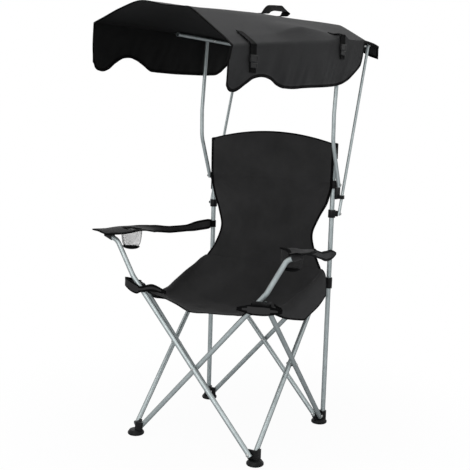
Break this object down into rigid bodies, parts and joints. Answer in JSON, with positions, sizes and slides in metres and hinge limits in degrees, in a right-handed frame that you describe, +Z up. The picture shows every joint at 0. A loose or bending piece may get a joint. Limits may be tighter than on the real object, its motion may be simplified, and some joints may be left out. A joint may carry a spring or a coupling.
{
  "type": "canopy folding chair",
  "caption": "Quad-fold camping chair with a hammock seat, tall back, twisted armrests with net cup holders and a folding sun canopy.",
  "frame": {"origin": "on the floor under the middle of the chair's bounding box", "axes": "+Z up, the sitter faces -Y, +X to the viewer's right when the chair is seen from its front"},
  "size_m": [0.746, 1.0434, 1.4149],
  "materials": {
    "enamel": "smooth silver-grey powder coat",
    "plastic": "black moulded plastic, satin",
    "steel": "bright rivet steel",
    "cloth": "black coated polyester weave, matt",
    "roof_cloth": "charcoal polyester weave with a slight sheen",
    "webbing": "black ribbed webbing",
    "mesh_cloth": "black see-through netting with a black rim"
  },
  "bodies": {
    "left_post": {"rear_left_foot": "plastic", "left_post": "enamel", "left_post_cap": "plastic", "left_canopy_bracket": "plastic", "left_strut_bracket": "plastic", "back_panel": "cloth"},
    "back_tube_a": {"back_cross_rivet": "steel", "back_tube_a": "enamel"},
    "back_tube_b": {"back_tube_b": "enamel"},
    "right_post": {"rear_right_foot": "plastic", "right_post": "enamel", "right_post_cap": "plastic", "right_canopy_bracket": "plastic", "right_strut_bracket": "plastic"},
    "right_slider": {"right_slider": "plastic"},
    "left_slider": {"left_slider": "plastic"},
    "left_tube_b": {"left_cross_rivet": "steel", "left_tube_b": "enamel"},
    "left_tube_a": {"left_tube_a": "enamel"},
    "front_left_foot": {"front_left_foot": "plastic"},
    "front_tube_b": {"front_cross_rivet": "steel", "front_tube_b": "enamel"},
    "front_tube_a": {"front_tube_a": "enamel"},
    "front_right_foot": {"front_right_foot": "plastic"},
    "front_right_corner": {"front_right_corner": "plastic"},
    "front_left_corner": {"front_left_corner": "plastic"},
    "right_tube_a": {"right_cross_rivet": "steel", "right_tube_a": "enamel"},
    "right_tube_b": {"right_tube_b": "enamel"},
    "left_canopy_post": {"left_canopy_post": "enamel"},
    "left_canopy_arm": {"left_arm_rivet": "steel", "left_strut_rivet": "steel", "left_canopy_arm": "enamel", "canopy_cover": "roof_cloth", "carry_handle": "webbing"},
    "left_canopy_strut": {"left_canopy_strut": "enamel"},
    "right_canopy_post": {"right_canopy_post": "enamel"},
    "right_canopy_arm": {"right_arm_rivet": "steel", "right_strut_rivet": "steel", "right_canopy_arm": "enamel", "front_closing_strap": "webbing", "rear_closing_strap": "webbing"},
    "right_canopy_strut": {"right_canopy_strut": "enamel"},
    "seat_rear": {"seat_rear": "cloth"},
    "seat_front": {"seat_front": "cloth"},
    "left_armrest": {"left_armrest": "cloth", "left_cup_holder": "mesh_cloth"},
    "right_armrest": {"right_armrest": "cloth", "right_cup_holder": "mesh_cloth"}
  },
  "joints": [
    {"name": "fold", "type": "hinge", "parent": "left_post", "child": "back_tube_a", "pos_m": [-0.207, 0.2107, 0.03], "axis": [0, -1, 0], "range_deg": [0, 38.7], "deforming": ["seat_rear", "seat_front", "back_panel", "left_armrest", "right_armrest", "left_cup_holder", "right_cup_holder", "canopy_cover", "front_closing_strap", "rear_closing_strap", "carry_handle"]},
    {"name": "back_tube_b_fold", "type": "hinge", "parent": "back_tube_a", "child": "back_tube_b", "pos_m": [0, 0.2017, 0.261], "axis": [0, 1, 0], "range_deg": [0, 77.4]},
    {"name": "right_post_fold", "type": "hinge", "parent": "back_tube_b", "child": "right_post", "pos_m": [0.207, 0.1927, 0.03], "axis": [0, -1, 0], "range_deg": [0, 38.7]},
    {"name": "right_slider_fold", "type": "hinge", "parent": "back_tube_a", "child": "right_slider", "pos_m": [0.207, 0.2107, 0.492], "axis": [0, 1, 0], "range_deg": [0, 38.7]},
    {"name": "left_slider_fold", "type": "hinge", "parent": "back_tube_b", "child": "left_slider", "pos_m": [-0.207, 0.1927, 0.492], "axis": [0, -1, 0], "range_deg": [0, 38.7]},
    {"name": "left_tube_b_fold", "type": "hinge", "parent": "left_post", "child": "left_tube_b", "pos_m": [-0.216, 0.1837, 0.03], "axis": [-1, 0, 0], "range_deg": [0, 38.7]},
    {"name": "left_tube_a_fold", "type": "hinge", "parent": "left_tube_b", "child": "left_tube_a", "pos_m": [-0.225, -0.0233, 0.261], "axis": [1, 0, 0], "range_deg": [0, 77.4]},
    {"name": "front_left_foot_fold", "type": "hinge", "parent": "left_tube_a", "child": "front_left_foot", "pos_m": [-0.234, -0.2303, 0.03], "axis": [-1, 0, 0], "range_deg": [0, 38.7]},
    {"name": "front_tube_b_fold", "type": "hinge", "parent": "front_left_foot", "child": "front_tube_b", "pos_m": [-0.207, -0.2393, 0.03], "axis": [0, -1, 0], "range_deg": [0, 38.7]},
    {"name": "front_tube_a_fold", "type": "hinge", "parent": "front_tube_b", "child": "front_tube_a", "pos_m": [0, -0.2483, 0.261], "axis": [0, 1, 0], "range_deg": [0, 77.4]},
    {"name": "front_right_foot_fold", "type": "hinge", "parent": "front_tube_a", "child": "front_right_foot", "pos_m": [0.207, -0.2573, 0.03], "axis": [0, -1, 0], "range_deg": [0, 38.7]},
    {"name": "front_right_corner_fold", "type": "hinge", "parent": "front_tube_b", "child": "front_right_corner", "pos_m": [0.207, -0.2393, 0.492], "axis": [0, 1, 0], "range_deg": [0, 38.7]},
    {"name": "front_left_corner_fold", "type": "hinge", "parent": "front_tube_a", "child": "front_left_corner", "pos_m": [-0.207, -0.2573, 0.492], "axis": [0, -1, 0], "range_deg": [0, 38.7]},
    {"name": "right_tube_a_fold", "type": "hinge", "parent": "right_post", "child": "right_tube_a", "pos_m": [0.234, 0.1837, 0.03], "axis": [-1, 0, 0], "range_deg": [0, 38.7]},
    {"name": "right_tube_b_fold", "type": "hinge", "parent": "right_tube_a", "child": "right_tube_b", "pos_m": [0.225, -0.0233, 0.261], "axis": [1, 0, 0], "range_deg": [0, 77.4]},
    {"name": "seat_rear_fold", "type": "hinge", "parent": "left_slider", "child": "seat_rear", "pos_m": [0, 0.1617, 0.545], "axis": [1, 0, 0], "range_deg": [0, 81.27]},
    {"name": "seat_front_fold", "type": "hinge", "parent": "seat_rear", "child": "seat_front", "pos_m": [0, -0.0233, 0.40957], "axis": [1, 0, 0], "range_deg": [-162.54, 0]},
    {"name": "left_armrest_fold", "type": "hinge", "parent": "left_post", "child": "left_armrest", "pos_m": [-0.234, 0.2107, 0.652], "axis": [-0.9659, 0.2063, 0.1561], "range_deg": [0, 67.25]},
    {"name": "right_armrest_fold", "type": "hinge", "parent": "right_post", "child": "right_armrest", "pos_m": [0.234, 0.2107, 0.59], "axis": [-0.969, -0.2204, -0.1116], "range_deg": [0, 67.49]},
    {"name": "canopy_fold", "type": "hinge", "parent": "left_post", "child": "left_canopy_post", "pos_m": [-0.254, 0.2117, 0.826], "axis": [-1, 0, 0], "range_deg": [0, 150]},
    {"name": "right_canopy_post_fold", "type": "hinge", "parent": "right_post", "child": "right_canopy_post", "pos_m": [0.254, 0.2117, 0.826], "axis": [-1, 0, 0], "range_deg": [0, 150]},
    {"name": "left_canopy_arm_fold", "type": "hinge", "parent": "left_canopy_post", "child": "left_canopy_arm", "pos_m": [-0.2315, 0.1727, 1.3], "axis": [-1, 0, 0], "range_deg": [-66.81, 0]},
    {"name": "left_canopy_strut_fold", "type": "hinge", "parent": "left_post", "child": "left_canopy_strut", "pos_m": [-0.254, 0.2247, 0.728], "axis": [-1, 0, 0], "range_deg": [0, 134.07]},
    {"name": "right_canopy_arm_fold", "type": "hinge", "parent": "right_canopy_post", "child": "right_canopy_arm", "pos_m": [0.2315, 0.1727, 1.3], "axis": [-1, 0, 0], "range_deg": [-66.81, 0]},
    {"name": "right_canopy_strut_fold", "type": "hinge", "parent": "right_post", "child": "right_canopy_strut", "pos_m": [0.254, 0.2247, 0.728], "axis": [-1, 0, 0], "range_deg": [0, 134.07]}
  ],
  "couplings": [
    {"joint": "back_tube_b_fold", "follows": "fold", "ratio": 2},
    {"joint": "right_post_fold", "follows": "fold", "ratio": 1},
    {"joint": "right_slider_fold", "follows": "fold", "ratio": 1},
    {"joint": "left_slider_fold", "follows": "fold", "ratio": 1},
    {"joint": "left_tube_b_fold", "follows": "fold", "ratio": 1},
    {"joint": "left_tube_a_fold", "follows": "fold", "ratio": 2},
    {"joint": "front_left_foot_fold", "follows": "fold", "ratio": 1},
    {"joint": "front_tube_b_fold", "follows": "fold", "ratio": 1},
    {"joint": "front_tube_a_fold", "follows": "fold", "ratio": 2},
    {"joint": "front_right_foot_fold", "follows": "fold", "ratio": 1},
    {"joint": "front_right_corner_fold", "follows": "fold", "ratio": 1},
    {"joint": "front_left_corner_fold", "follows": "fold", "ratio": 1},
    {"joint": "right_tube_a_fold", "follows": "fold", "ratio": 1},
    {"joint": "right_tube_b_fold", "follows": "fold", "ratio": 2},
    {"joint": "seat_rear_fold", "follows": "fold", "ratio": 2.1},
    {"joint": "seat_front_fold", "follows": "fold", "ratio": -4.2},
    {"joint": "left_armrest_fold", "follows": "fold", "ratio": 1.7377},
    {"joint": "right_armrest_fold", "follows": "fold", "ratio": 1.7439},
    {"joint": "right_canopy_post_fold", "follows": "canopy_fold", "ratio": 1},
    {"joint": "left_canopy_arm_fold", "follows": "canopy_fold", "ratio": -0.4454},
    {"joint": "left_canopy_strut_fold", "follows": "canopy_fold", "ratio": 0.8938},
    {"joint": "right_canopy_arm_fold", "follows": "canopy_fold", "ratio": -0.4454},
    {"joint": "right_canopy_strut_fold", "follows": "canopy_fold", "ratio": 0.8938}
  ]
}
